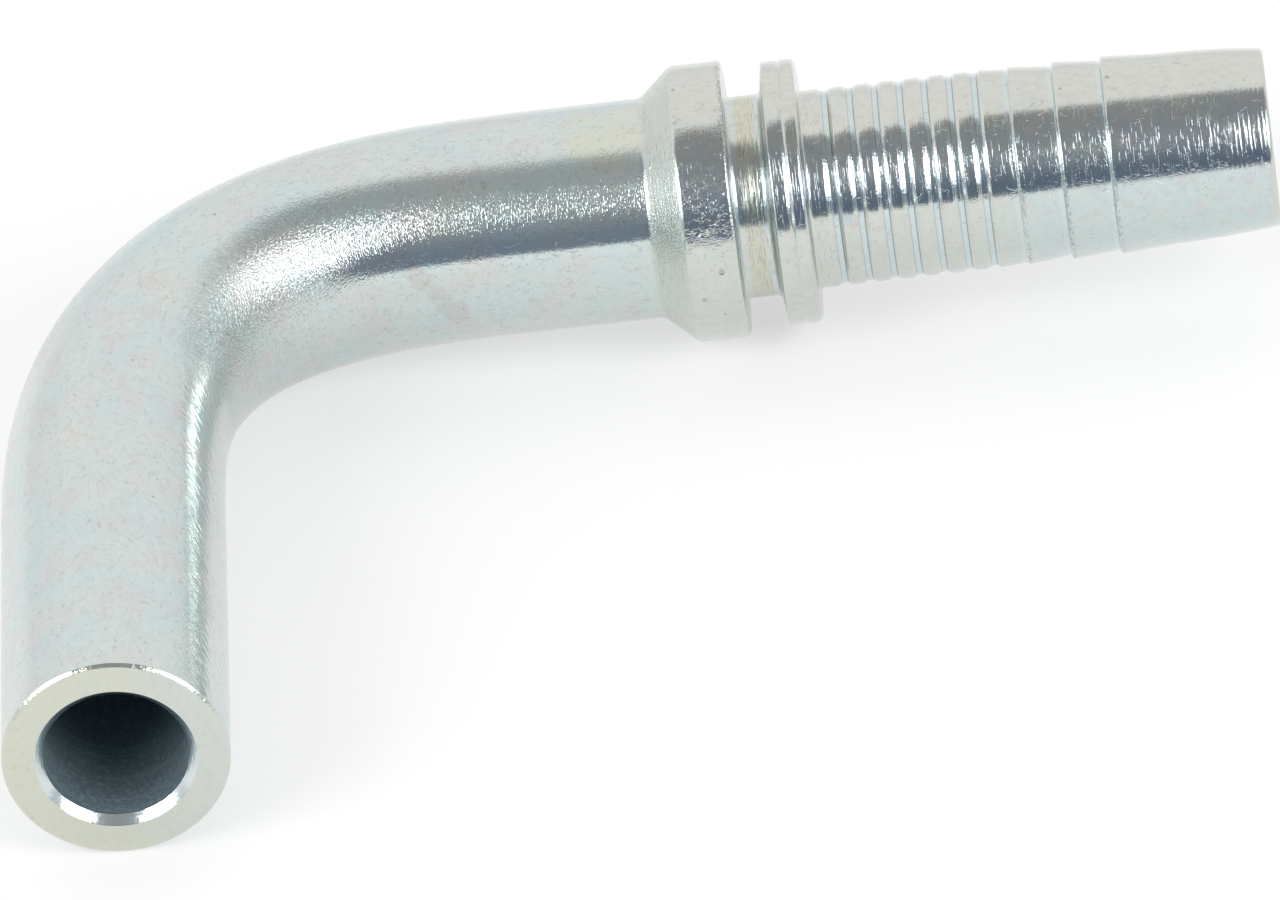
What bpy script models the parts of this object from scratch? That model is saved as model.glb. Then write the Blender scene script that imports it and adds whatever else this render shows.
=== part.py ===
"""Hydraulic pipe stub: a plain 12 mm standpipe, an eased right-angle bend and a
ribbed hose tail with its ferrule collar, all one piece of steel with one bore through it.

The piece is made the way the real one is. A straight blank is turned first, with every
step of its outline, and then the plain length between the two straight legs is bent.
Metres, +Z up. The bend's plane is laid over until the collar touches the ground, which is
how the loose piece comes to rest. The ground is Z = 0 below the middle of the piece.
"""

import math

import bmesh
import bpy
import numpy as np
from mathutils import Matrix, Vector

# Pipe and bore
PIPE_DIAMETER = 0.0120
BORE_DIAMETER = 0.0077
STANDPIPE_STRAIGHT = 0.0204
RIM_CHAMFER = 0.00017
BORE_CHAMFER = 0.00046
NOSE_BORE_CHAMFER = 0.00035

# Bend: it tightens evenly all along its entry and opens evenly along its exit
BEND_ANGLE = math.radians(90.0)
BEND_ENTRY_LENGTH = 0.0237
BEND_EXIT_LENGTH = 0.0185
BEND_FLATTENING = 0.00065
TAIL_STRAIGHT = 0.00550

# Ferrule collar and the neck behind it, where a crimped ferrule's lip locks in
CONE_LENGTH = 0.00176
CONE_FOOT_FILLET = 0.0008
COLLAR_DIAMETER = 0.0151
COLLAR_WIDTH = 0.00280
COLLAR_EDGE_RADIUS = 0.00015
NECK_DIAMETER = 0.0110
NECK_WIDTH = 0.00217
NECK_FOOT_LENGTH = 0.00034
NECK_FOOT_HEIGHT = 0.00022
NECK_COLLAR_FILLET = 0.00040
NECK_FLANGE_FILLET = 0.00020

# Flange in two halves with a fine notch between them, where the hose's end stops
FLANGE_DIAMETER = 0.0144
FLANGE_WIDTH = 0.00182
FLANGE_LEAN = 0.00016
FLANGE_EDGE_RADIUS = 0.00030
FLANGE_FOOT_FILLET = 0.00028
NOTCH_POSITION = 0.00092
NOTCH_WIDTH = 0.00033
NOTCH_DEPTH = 0.00009

# Hose tail: fine grooves, three barbs and a long nose
TAIL_DIAMETER = 0.01078
GROOVE_COUNT = 7
GROOVE_PITCH = 0.00136
GROOVE_FALLING_WALL = 0.00026
GROOVE_FLOOR_WIDTH = 0.00016
GROOVE_RISING_WALL = 0.00021
GROOVE_DEPTH = 0.00019
GROOVES_FROM_FLANGE = 0.00146
BARBS_FROM_GROOVES = 0.00190
BARB_LENGTHS = (0.00241, 0.00265, 0.00300)
BARB_HEIGHT = 0.00020
BARB_STEP_LENGTH = 0.00012
BARB_ROOT_LENGTH = 0.00020
BARB_ROOT_DEPTH = 0.00004
NOSE_LENGTH = 0.00577
NOSE_DROP = 0.00036
NOSE_EDGE_RADIUS = 0.00030

# Facets
SEGMENTS_ROUND = 36
BEND_STATIONS = 22
NOSE_STATIONS = 4
FILLET_STEPS = 3
CURVE_SAMPLES = 2000
SHARP_EDGE_ANGLE = math.radians(28.0)
WELD_DISTANCE = 0.000001

STEEL_COLOUR = (0.62, 0.66, 0.66, 1.0)


def clear_scene():
    """Leave no object in the scene."""
    for obj in list(bpy.data.objects):
        bpy.data.objects.remove(obj, do_unlink=True)


def zinc_plated_steel():
    """Bright zinc plating with a clear passivate."""
    material = bpy.data.materials.new("zinc_plated_steel")
    material.use_nodes = True
    shader = material.node_tree.nodes["Principled BSDF"]
    shader.inputs["Base Color"].default_value = STEEL_COLOUR
    shader.inputs["Metallic"].default_value = 1.0
    shader.inputs["Roughness"].default_value = 0.32
    return material


def fillet_arc(before, corner, after, radius):
    """Points of the arc that rounds one corner of an outline."""
    corner = Vector(corner)
    back = (Vector(before) - corner).normalized()
    ahead = (Vector(after) - corner).normalized()
    half_angle = back.angle(ahead) / 2.0
    reach = radius / math.tan(half_angle)
    centre = corner + (back + ahead).normalized() * radius / math.sin(half_angle)
    start = corner + back * reach - centre
    turn = start.angle_signed(corner + ahead * reach - centre)
    points = []
    for step in range(FILLET_STEPS + 1):
        arm = start.copy()
        arm.rotate(Matrix.Rotation(-turn * step / FILLET_STEPS, 2))
        points.append(tuple(centre + arm))
    return points


def round_corners(corners):
    """Outline of (along, radius, fillet) corners with the filleted ones made round."""
    points = []
    for index, (along, radius, fillet) in enumerate(corners):
        if fillet == 0.0:
            points.append((along, radius))
            continue
        before = corners[index - 1][:2]
        after = corners[index + 1][:2]
        points += fillet_arc(before, (along, radius), after, fillet)
    return points


def bend_centreline():
    """Bend as arrays of length along it, heading, X and Y.

    It starts at (0, 0) heading along +Y and turns towards +X.
    """
    total = BEND_ENTRY_LENGTH + BEND_EXIT_LENGTH
    along = np.linspace(0.0, total, CURVE_SAMPLES)
    step = along[1] - along[0]
    curvature = np.minimum(along / BEND_ENTRY_LENGTH, (total - along) / BEND_EXIT_LENGTH)
    heading = running_sum(curvature, step)
    heading *= BEND_ANGLE / heading[-1]
    return along, heading, running_sum(np.sin(heading), step), running_sum(np.cos(heading), step)


def running_sum(values, step):
    """Trapezium-rule integral of evenly spaced values, starting at zero."""
    areas = (values[1:] + values[:-1]) * step / 2.0
    return np.concatenate(([0.0], np.cumsum(areas)))


def collar_corners(start):
    """Cone, collar, neck and notched flange, from the end of the plain pipe."""
    pipe = PIPE_DIAMETER / 2.0
    collar = COLLAR_DIAMETER / 2.0
    neck = NECK_DIAMETER / 2.0
    flange = FLANGE_DIAMETER / 2.0
    collar_start = start + CONE_LENGTH
    collar_end = collar_start + COLLAR_WIDTH
    flange_start = collar_end + NECK_WIDTH
    flange_end = flange_start + FLANGE_WIDTH
    notch = flange_start + NOTCH_POSITION
    return [
        (start, pipe, CONE_FOOT_FILLET),
        (collar_start, collar, COLLAR_EDGE_RADIUS),
        (collar_end, collar, COLLAR_EDGE_RADIUS),
        (collar_end, neck + NECK_FOOT_HEIGHT, 0.0),
        (collar_end + NECK_FOOT_LENGTH, neck, NECK_COLLAR_FILLET),
        (flange_start - FLANGE_LEAN, neck, NECK_FLANGE_FILLET),
        (flange_start, flange, COLLAR_EDGE_RADIUS),
        (notch - NOTCH_WIDTH / 2.0, flange, 0.0),
        (notch, flange - NOTCH_DEPTH, 0.0),
        (notch + NOTCH_WIDTH / 2.0, flange, 0.0),
        (flange_end, flange, FLANGE_EDGE_RADIUS),
        (flange_end, TAIL_DIAMETER / 2.0, FLANGE_FOOT_FILLET),
    ]


def tail_corners(flange_end):
    """Grooves, barbs and nose, from the flange's far face to the open end."""
    crest = TAIL_DIAMETER / 2.0
    root = crest - BARB_HEIGHT
    corners = []
    for index in range(GROOVE_COUNT):
        middle = flange_end + GROOVES_FROM_FLANGE + index * GROOVE_PITCH
        floor_start = middle - GROOVE_FLOOR_WIDTH / 2.0
        floor_end = middle + GROOVE_FLOOR_WIDTH / 2.0
        corners.append((floor_start - GROOVE_FALLING_WALL, crest, 0.0))
        corners.append((floor_start, crest - GROOVE_DEPTH, 0.0))
        corners.append((floor_end, crest - GROOVE_DEPTH, 0.0))
        corners.append((floor_end + GROOVE_RISING_WALL, crest, 0.0))
    last_groove = flange_end + GROOVES_FROM_FLANGE + (GROOVE_COUNT - 1) * GROOVE_PITCH
    along = last_groove + BARBS_FROM_GROOVES
    before = crest - BARB_HEIGHT / 2.0
    for length in BARB_LENGTHS:
        foot = along - BARB_STEP_LENGTH
        corners.append((foot - BARB_ROOT_LENGTH, before, 0.0))
        corners.append((foot, before - BARB_ROOT_DEPTH, 0.0))
        corners.append((along, crest, 0.0))
        along += length
        before = root
    nose_start = along
    nose_end = along + NOSE_LENGTH
    corners.append((nose_start, root, 0.0))
    for station in range(1, NOSE_STATIONS):
        share = station / NOSE_STATIONS
        place = nose_start + (nose_end - nose_start) * share
        corners.append((place, root - NOSE_DROP * share ** 2, 0.0))
    corners.append((nose_end, root - NOSE_DROP, NOSE_EDGE_RADIUS))
    return corners, nose_end


def blank_outline(bend_length):
    """Closed outline of the straight blank's wall, and the length where the tail starts."""
    pipe = PIPE_DIAMETER / 2.0
    bore = BORE_DIAMETER / 2.0
    bend_end = STANDPIPE_STRAIGHT + bend_length
    stations = np.linspace(STANDPIPE_STRAIGHT, bend_end, BEND_STATIONS + 1)
    corners = [(0.0, bore + BORE_CHAMFER, 0.0)]
    corners.append((0.0, pipe - RIM_CHAMFER, 0.0))
    corners.append((RIM_CHAMFER, pipe, 0.0))
    corners += [(float(along), pipe, 0.0) for along in stations]
    collar = collar_corners(bend_end + TAIL_STRAIGHT)
    tail, nose_end = tail_corners(collar[-1][0])
    corners += collar + tail
    corners.append((nose_end, bore + NOSE_BORE_CHAMFER, 0.0))
    corners.append((nose_end - NOSE_BORE_CHAMFER, bore, 0.0))
    corners += [(float(along), bore, 0.0) for along in reversed(stations)]
    corners.append((BORE_CHAMFER, bore, 0.0))
    return round_corners(corners)


def turn_blank(outline):
    """Spin the wall's outline about the X axis into a straight, closed blank."""
    mesh = bmesh.new()
    corners = [mesh.verts.new((along, radius, 0.0)) for along, radius in outline]
    edges = []
    for index, corner in enumerate(corners):
        edges.append(mesh.edges.new((corner, corners[(index + 1) % len(corners)])))
    bmesh.ops.spin(
        mesh,
        geom=corners + edges,
        cent=(0.0, 0.0, 0.0),
        axis=(1.0, 0.0, 0.0),
        angle=math.tau,
        steps=SEGMENTS_ROUND,
        use_merge=True,
    )
    bmesh.ops.remove_doubles(mesh, verts=mesh.verts[:], dist=WELD_DISTANCE)
    bmesh.ops.recalc_face_normals(mesh, faces=mesh.faces[:])
    return mesh


def bend_blank(mesh, centreline):
    """Carry each ring of the blank along the bent centreline.

    The two straight axes meet at the origin, with the standpipe along -Y and the
    tail along +X. The section flattens in the bend's plane, most at its middle.
    """
    along, heading, curve_x, curve_y = centreline
    exit_reach = curve_x[-1]
    entry_reach = curve_y[-1]
    for vert in mesh.verts:
        length, across, up = vert.co
        travelled = length - STANDPIPE_STRAIGHT
        inside = min(max(travelled, 0.0), along[-1])
        before = min(travelled, 0.0)
        after = max(travelled - along[-1], 0.0)
        turned = float(np.interp(inside, along, heading))
        centre_x = float(np.interp(inside, along, curve_x)) + after * math.sin(BEND_ANGLE)
        centre_y = float(np.interp(inside, along, curve_y)) + before + after * math.cos(BEND_ANGLE)
        flattened = BEND_FLATTENING / (PIPE_DIAMETER / 2.0) * math.sin(math.pi * turned / BEND_ANGLE)
        across *= 1.0 - flattened
        vert.co.x = centre_x - across * math.cos(turned)
        vert.co.y = centre_y - entry_reach + across * math.sin(turned)
        vert.co.z = up
    bmesh.ops.recalc_face_normals(mesh, faces=mesh.faces[:])
    return exit_reach


def rest_roll(collar_reach):
    """Roll about the standpipe's axis that lays the collar's edge on the ground."""
    collar = COLLAR_DIAMETER / 2.0
    pipe = PIPE_DIAMETER / 2.0
    span = math.hypot(collar_reach, collar)
    return math.atan2(collar, collar_reach) - math.asin(pipe / span)


def lay_on_ground(obj):
    """Stand the lowest point on Z = 0, with the footprint's middle at the origin."""
    bpy.context.view_layer.update()
    places = [obj.matrix_world @ vert.co for vert in obj.data.vertices]
    low = Vector([min(place[axis] for place in places) for axis in range(3)])
    high = Vector([max(place[axis] for place in places) for axis in range(3)])
    middle = (low + high) / 2.0
    obj.location -= Vector((middle.x, middle.y, low.z))


def build():
    clear_scene()
    centreline = bend_centreline()
    mesh = turn_blank(blank_outline(centreline[0][-1]))
    exit_reach = bend_blank(mesh, centreline)
    data = bpy.data.meshes.new("pipe_stub")
    mesh.to_mesh(data)
    mesh.free()
    data.shade_smooth()
    data.set_sharp_from_angle(angle=SHARP_EDGE_ANGLE)
    data.materials.append(zinc_plated_steel())
    stub = bpy.data.objects.new("pipe_stub", data)
    bpy.context.collection.objects.link(stub)
    collar_reach = exit_reach + TAIL_STRAIGHT + CONE_LENGTH
    stub.rotation_euler = (0.0, -rest_roll(collar_reach), 0.0)
    lay_on_ground(stub)


build()
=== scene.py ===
"""Looks of a bent hydraulic pipe stub in bright zinc plating, lying on a pale studio table.

The outline of the wall is drawn as for a lathe, and a Geometry Nodes tree turns it, bends
the plain length and lays the piece down as the CAD solid lies. Metres, with the small sizes
of the outline written in millimetres.
"""

import math
from functools import partial

import bpy
import numpy as np
from mathutils import Matrix, Vector


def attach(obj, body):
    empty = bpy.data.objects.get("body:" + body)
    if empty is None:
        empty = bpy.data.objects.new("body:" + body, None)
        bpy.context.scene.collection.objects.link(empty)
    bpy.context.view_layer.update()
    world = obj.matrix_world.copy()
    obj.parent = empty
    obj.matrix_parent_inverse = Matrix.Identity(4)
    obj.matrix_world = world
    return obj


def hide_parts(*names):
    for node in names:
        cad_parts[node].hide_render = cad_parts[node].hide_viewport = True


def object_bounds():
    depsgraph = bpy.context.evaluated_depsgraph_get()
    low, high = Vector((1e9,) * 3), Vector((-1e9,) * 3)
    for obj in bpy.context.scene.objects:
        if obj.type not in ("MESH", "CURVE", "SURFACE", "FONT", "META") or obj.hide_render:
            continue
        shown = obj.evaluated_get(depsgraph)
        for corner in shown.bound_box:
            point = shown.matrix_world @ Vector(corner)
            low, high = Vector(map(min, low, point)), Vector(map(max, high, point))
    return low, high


MM = 0.001
MATH = "ShaderNodeMath"
VECTOR_MATH = "ShaderNodeVectorMath"
MAP_RANGE = "ShaderNodeMapRange"
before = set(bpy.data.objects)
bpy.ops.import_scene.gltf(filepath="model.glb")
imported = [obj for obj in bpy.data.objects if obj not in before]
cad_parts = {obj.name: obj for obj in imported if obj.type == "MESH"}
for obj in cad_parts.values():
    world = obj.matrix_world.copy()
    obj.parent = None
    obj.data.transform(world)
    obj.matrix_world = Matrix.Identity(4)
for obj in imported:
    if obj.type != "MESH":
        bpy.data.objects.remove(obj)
cad_low, cad_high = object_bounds()

# Sizes of the piece in millimetres, as in the CAD solid but for its finest forms
PIPE_RADIUS = 6.0
BORE_RADIUS = 3.82
BORE_CHAMFER = 0.46
NOSE_BORE_CHAMFER = 0.35
RIM_CHAMFER = 0.17
STANDPIPE_STRAIGHT = 20.4
BEND_ANGLE = math.radians(90.0)
BEND_ENTRY_LENGTH = 23.7
BEND_EXIT_LENGTH = 18.5
BEND_FLATTENING = 0.65
TAIL_STRAIGHT = 5.5
CONE_LENGTH = 1.76
COLLAR_RADIUS = 7.55
COLLAR_WIDTH = 2.80
NECK_RADIUS = 5.5
NECK_WIDTH = 2.17
NECK_FOOT_LENGTH = 0.22
NECK_FOOT_HEIGHT = 0.13
FLANGE_LEAN = 0.25
FLANGE_RADIUS = 7.2
FLANGE_WIDTH = 1.82
NOTCH_POSITION = 0.92
NOTCH_DEPTH = 0.09
NOTCH_FALLING_WALL = 0.17
NOTCH_RISING_WALL = 0.16
NOTCH_LIP = 0.02
TAIL_RADIUS = 5.39
GROOVE_COUNT = 7
GROOVE_PITCH = 1.36
GROOVE_FALLING_WALL = 0.28
GROOVE_FLOOR_WIDTH = 0.28
GROOVE_RISING_WALL = 0.21
GROOVE_DEPTH = 0.14
GROOVE_SHOULDER_RADIUS = 0.12
GROOVE_FLOOR_RADIUS = 0.05
GROOVES_FROM_FLANGE = 1.46
BARBS_FROM_GROOVES = 1.90
BARB_LENGTHS = (2.41, 2.65, 3.00)
BARB_HEIGHT = 0.20
BARB_STEP_LENGTH = 0.12
BARB_ROOT_LENGTH = 0.20
BARB_ROOT_DEPTH = 0.04
NOSE_LENGTH = 5.77
NOSE_DROP = 0.36

# Stations along the straight blank, from the standpipe's end
BEND_START = STANDPIPE_STRAIGHT
BEND_END = BEND_START + BEND_ENTRY_LENGTH + BEND_EXIT_LENGTH
CONE_START = BEND_END + TAIL_STRAIGHT
COLLAR_START = CONE_START + CONE_LENGTH
COLLAR_END = COLLAR_START + COLLAR_WIDTH
FLANGE_START = COLLAR_END + NECK_WIDTH
FLANGE_END = FLANGE_START + FLANGE_WIDTH
FIRST_GROOVE = FLANGE_END + GROOVES_FROM_FLANGE
LAST_GROOVE = FIRST_GROOVE + (GROOVE_COUNT - 1) * GROOVE_PITCH
FIRST_BARB = LAST_GROOVE + BARBS_FROM_GROOVES
NOSE_START = FIRST_BARB + sum(BARB_LENGTHS)
NOSE_END = NOSE_START + NOSE_LENGTH

# Waviness of the plain length, in millimetres, which fades out at the rim and before the cone
PLAIN_END = CONE_START - 0.4
WAVINESS_HEIGHT = 0.02
WAVINESS_SIZE = 2.2
WAVINESS_SEED = 4.0
RIM_FADE_START = 0.4
RIM_FADE_END = 2.0
CONE_FADE = 1.5

# Mesh steps in millimetres, and counts of them
SEGMENTS_ROUND = 176
FILLET_ANGLE = math.radians(18.0)
PLAIN_STEP = 0.60
TURNED_STEP = 0.35
FACE_STEP = 0.4
BORE_STEP = 1.8
NOSE_STATIONS = 12
PATH_POINTS = 2000
PATH_SPARE = 1.0
WELD_DISTANCE = 0.002
SHARP_ANGLE = math.radians(40.0)

# Zones of the wall, one for each finish
DRAWN, TURNED, FACED, DRILLED = range(4)


def add_node(tree, kind, inputs=(), **settings):
    """Add a node with its settings.

    Inputs are a list in socket order, where None is left alone, or a dict by name or number. Each is a
    value, a socket, or a node whose first live output is taken.
    """
    node = tree.nodes.new(kind)
    for name, value in settings.items():
        setattr(node, name, value)
    for socket, value in inputs.items() if isinstance(inputs, dict) else enumerate(inputs):
        if isinstance(value, bpy.types.Node):
            value = next(output for output in value.outputs if output.enabled)
        if isinstance(value, bpy.types.NodeSocket):
            tree.links.new(value, node.inputs[socket])
        elif value is not None:
            node.inputs[socket].default_value = value
    return node


def linear(colour):
    """Linear RGBA of an sRGB hex colour, by the standard sRGB curve."""
    parts = [int(colour[place:place + 2], 16) / 255.0 for place in (1, 3, 5)]
    levels = [part / 12.92 if part <= 0.04045 else ((part + 0.055) / 1.055) ** 2.4 for part in parts]
    return levels + [1.0]


# Outline of the wall

def fillet_arc(before, corner, after, radius):
    """Points of the arc that rounds one corner of an outline."""
    corner = Vector(corner)
    back = (Vector(before) - corner).normalized()
    ahead = (Vector(after) - corner).normalized()
    half_angle = back.angle(ahead) / 2.0
    reach = radius / math.tan(half_angle)
    centre = corner + (back + ahead).normalized() * radius / math.sin(half_angle)
    start = corner + back * reach - centre
    turn = start.angle_signed(corner + ahead * reach - centre)
    steps = max(2, math.ceil(abs(turn) / FILLET_ANGLE))
    points = []
    for step in range(steps + 1):
        arm = start.copy()
        arm.rotate(Matrix.Rotation(-turn * step / steps, 2))
        points.append(tuple(centre + arm))
    return points


def round_and_divide(corners):
    """Outline points with the zone that starts at each.

    A corner is (along, radius, fillet, zone of what follows, longest step).
    """
    points = []
    for index, (along, radius, fillet, zone, step) in enumerate(corners):
        if fillet:
            before = corners[index - 1][:2]
            after = corners[(index + 1) % len(corners)][:2]
            arc = fillet_arc(before, (along, radius), after, fillet)
        else:
            arc = [(along, radius)]
        points += [(*place, zone, step) for place in arc]
    divided = []
    for index, (along, radius, zone, step) in enumerate(points):
        end = Vector(points[(index + 1) % len(points)][:2])
        start = Vector((along, radius))
        count = max(1, math.ceil((end - start).length / step))
        for part in range(count):
            place = start.lerp(end, part / count)
            divided.append((place.x, place.y, zone))
    return divided


def collar_corners():
    """Cone, collar, neck and notched flange, each corner with the radius that rounds it."""
    notch = FLANGE_START + NOTCH_POSITION
    corners = [
        (CONE_START, PIPE_RADIUS, 0.45),
        (COLLAR_START, COLLAR_RADIUS, 0.42),
        (COLLAR_END, COLLAR_RADIUS, 0.24),
        (COLLAR_END, NECK_RADIUS + NECK_FOOT_HEIGHT, 0.06),
        (COLLAR_END + NECK_FOOT_LENGTH, NECK_RADIUS, 0.14),
        (FLANGE_START - FLANGE_LEAN, NECK_RADIUS, 0.30),
        (FLANGE_START, FLANGE_RADIUS, 0.14),
        (notch - NOTCH_FALLING_WALL, FLANGE_RADIUS, 0.08),
        (notch, FLANGE_RADIUS - NOTCH_DEPTH, 0.05),
        (notch + NOTCH_RISING_WALL, FLANGE_RADIUS + NOTCH_LIP, 0.10),
        (FLANGE_END, FLANGE_RADIUS, 0.30),
        (FLANGE_END, TAIL_RADIUS, 0.28),
    ]
    return [(along, radius, fillet, TURNED, TURNED_STEP) for along, radius, fillet in corners]


def tail_corners():
    """Grooves, barbs and nose, each corner with the radius that rounds it."""
    corners = []
    floor = TAIL_RADIUS - GROOVE_DEPTH
    half_floor = GROOVE_FLOOR_WIDTH / 2.0
    for index in range(GROOVE_COUNT):
        middle = FIRST_GROOVE + index * GROOVE_PITCH
        corners.append((middle - half_floor - GROOVE_FALLING_WALL, TAIL_RADIUS, GROOVE_SHOULDER_RADIUS))
        corners.append((middle - half_floor, floor, GROOVE_FLOOR_RADIUS))
        corners.append((middle + half_floor, floor, GROOVE_FLOOR_RADIUS))
        corners.append((middle + half_floor + GROOVE_RISING_WALL, TAIL_RADIUS, GROOVE_SHOULDER_RADIUS))
    root = TAIL_RADIUS - BARB_HEIGHT
    along = FIRST_BARB
    before = TAIL_RADIUS - BARB_HEIGHT / 2.0
    for length in BARB_LENGTHS:
        corners.append((along - BARB_STEP_LENGTH - BARB_ROOT_LENGTH, before, 0.20))
        corners.append((along - BARB_STEP_LENGTH, before - BARB_ROOT_DEPTH, 0.05))
        corners.append((along, TAIL_RADIUS, 0.14))
        along += length
        before = root
    corners.append((NOSE_START, root, 0.0))
    for station in range(1, NOSE_STATIONS):
        share = station / NOSE_STATIONS
        corners.append((NOSE_START + NOSE_LENGTH * share, root - NOSE_DROP * share ** 2, 0.0))
    corners.append((NOSE_END, root - NOSE_DROP, 0.28))
    return [(place, radius, fillet, TURNED, TURNED_STEP) for place, radius, fillet in corners]


def wall_outline():
    """Closed outline of the straight blank's wall, in millimetres."""
    corners = [(0.0, BORE_RADIUS + BORE_CHAMFER, 0.05, FACED, FACE_STEP)]
    corners.append((0.0, PIPE_RADIUS - RIM_CHAMFER, 0.04, FACED, FACE_STEP))
    corners.append((RIM_CHAMFER, PIPE_RADIUS, 0.08, DRAWN, PLAIN_STEP))
    corners += collar_corners() + tail_corners()
    corners[-1] = (*corners[-1][:3], FACED, FACE_STEP)
    corners.append((NOSE_END, BORE_RADIUS + NOSE_BORE_CHAMFER, 0.03, FACED, FACE_STEP))
    corners.append((NOSE_END - NOSE_BORE_CHAMFER, BORE_RADIUS, 0.05, DRILLED, BORE_STEP))
    corners.append((BORE_CHAMFER, BORE_RADIUS, 0.08, FACED, BORE_STEP))
    return round_and_divide(corners)


# Form of the pipe, made by Geometry Nodes

def lathe_sheet(add, given):
    """Sheet of rings, one for each outline point, wrapped into the straight blank."""
    rows = add(MATH, [given["Outline Points"], 1.0], operation="ADD")
    columns = add(MATH, [given["Segments Round"], 1.0], operation="ADD")
    sheet = add("GeometryNodeMeshGrid", {"Vertices X": rows, "Vertices Y": columns})
    number = add(MATH, [add("GeometryNodeInputIndex"), 0.5], operation="ADD")
    ring = add(MATH, [add(MATH, [number, columns], operation="DIVIDE")], operation="FLOOR")
    column = add(MATH, [number, columns], operation="MODULO")
    column = add(MATH, [column], operation="FLOOR")
    outline_point = add(
        "GeometryNodeSampleIndex",
        {
            "Geometry": given["Wall Outline"],
            "Value": add("GeometryNodeInputPosition"),
            "Index": add(MATH, [ring, given["Outline Points"]], operation="MODULO"),
        },
        data_type="FLOAT_VECTOR",
    )
    along, radius, _ = add("ShaderNodeSeparateXYZ", [outline_point]).outputs
    share_round = add(MATH, [column, given["Segments Round"]], operation="DIVIDE")
    turn = add(MATH, [share_round, math.tau], operation="MULTIPLY")
    across = add(MATH, [radius, add(MATH, [turn], operation="COSINE")], operation="MULTIPLY")
    up = add(MATH, [radius, add(MATH, [turn], operation="SINE")], operation="MULTIPLY")
    place = add("ShaderNodeCombineXYZ", [along, across, up])
    blank = add("GeometryNodeSetPosition", {"Geometry": sheet.outputs["Mesh"], "Position": place})
    grain_map = add("ShaderNodeCombineXYZ", [add(MATH, [along, 10.0], operation="MULTIPLY"), share_round])
    blank = add(
        "GeometryNodeStoreNamedAttribute",
        {"Geometry": blank, "Name": "along_and_round", "Value": grain_map},
        data_type="FLOAT2",
        domain="CORNER",
    )
    blank = add("GeometryNodeMergeByDistance", {"Geometry": blank, "Distance": WELD_DISTANCE * MM})
    welded_place = add("GeometryNodeInputPosition")
    millimetres = add(VECTOR_MATH, [welded_place, (1.0 / MM, 1.0 / MM, 1.0 / MM)], operation="MULTIPLY")
    return add(
        "GeometryNodeStoreNamedAttribute",
        {"Geometry": blank, "Name": "blank_mm", "Value": millimetres},
        data_type="FLOAT_VECTOR",
        domain="POINT",
    )


def drawn_waviness(add, given, blank):
    """Slight waviness of the plain pipe between its rim and the cone."""
    place = add("GeometryNodeInputPosition")
    radial = add(VECTOR_MATH, [place, (0.0, 1.0, 1.0)], operation="MULTIPLY")
    radius = add(VECTOR_MATH, [radial], operation="LENGTH").outputs["Value"]
    outside = add(MATH, [radius, (PIPE_RADIUS - 0.1) * MM], operation="GREATER_THAN")
    along = add("ShaderNodeSeparateXYZ", [place]).outputs["X"]
    fade_in = add(
        MAP_RANGE, [along, RIM_FADE_START * MM, RIM_FADE_END * MM], interpolation_type="SMOOTHSTEP"
    )
    fade_start = add(MATH, [given["Plain Length"], CONE_FADE * MM], operation="SUBTRACT")
    fade_out = add(
        MAP_RANGE, [along, given["Plain Length"], fade_start], interpolation_type="SMOOTHSTEP"
    )
    share = add(MATH, [outside, add(MATH, [fade_in, fade_out], operation="MULTIPLY")], operation="MULTIPLY")
    noise = add(
        "ShaderNodeTexNoise",
        {
            "Vector": place,
            "W": given["Seed"],
            "Scale": add(MATH, [1.0, given["Waviness Size"]], operation="DIVIDE"),
            "Detail": 1.0,
        },
        noise_dimensions="4D",
    )
    centred = add(MATH, [noise, 0.5], operation="SUBTRACT")
    wave = add(MATH, [centred, given["Waviness Height"]], operation="MULTIPLY")
    wave = add(MATH, [wave, share], operation="MULTIPLY")
    outward = add(VECTOR_MATH, [radial], operation="NORMALIZE")
    offset = add(VECTOR_MATH, {0: outward, "Scale": wave}, operation="SCALE")
    return add("GeometryNodeSetPosition", {"Geometry": blank, "Offset": offset})


def bend_heading(add, given, travelled):
    """Heading at a length past the bend's start. The curvature rises evenly, then falls evenly."""
    entry, final, angle = given["Bend Entry Length"], given["Bend Exit Length"], given["Bend Angle"]
    total = add(MATH, [entry, final], operation="ADD")
    inside = add("ShaderNodeClamp", [travelled, 0.0, total])
    left = add(MATH, [total, inside], operation="SUBTRACT")
    sharpest = add(MATH, [angle, total], operation="DIVIDE")
    parts = []
    for run, length in ((inside, entry), (left, final)):
        square = add(MATH, [add(MATH, [run, 2.0], operation="POWER"), length], operation="DIVIDE")
        parts.append(add(MATH, [square, sharpest], operation="MULTIPLY"))
    falling = add(MATH, [angle, parts[1]], operation="SUBTRACT")
    past = add(MATH, [inside, entry], operation="GREATER_THAN")
    return add(
        "GeometryNodeSwitch", {"Switch": past, "False": parts[0], "True": falling}, input_type="FLOAT"
    )


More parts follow.
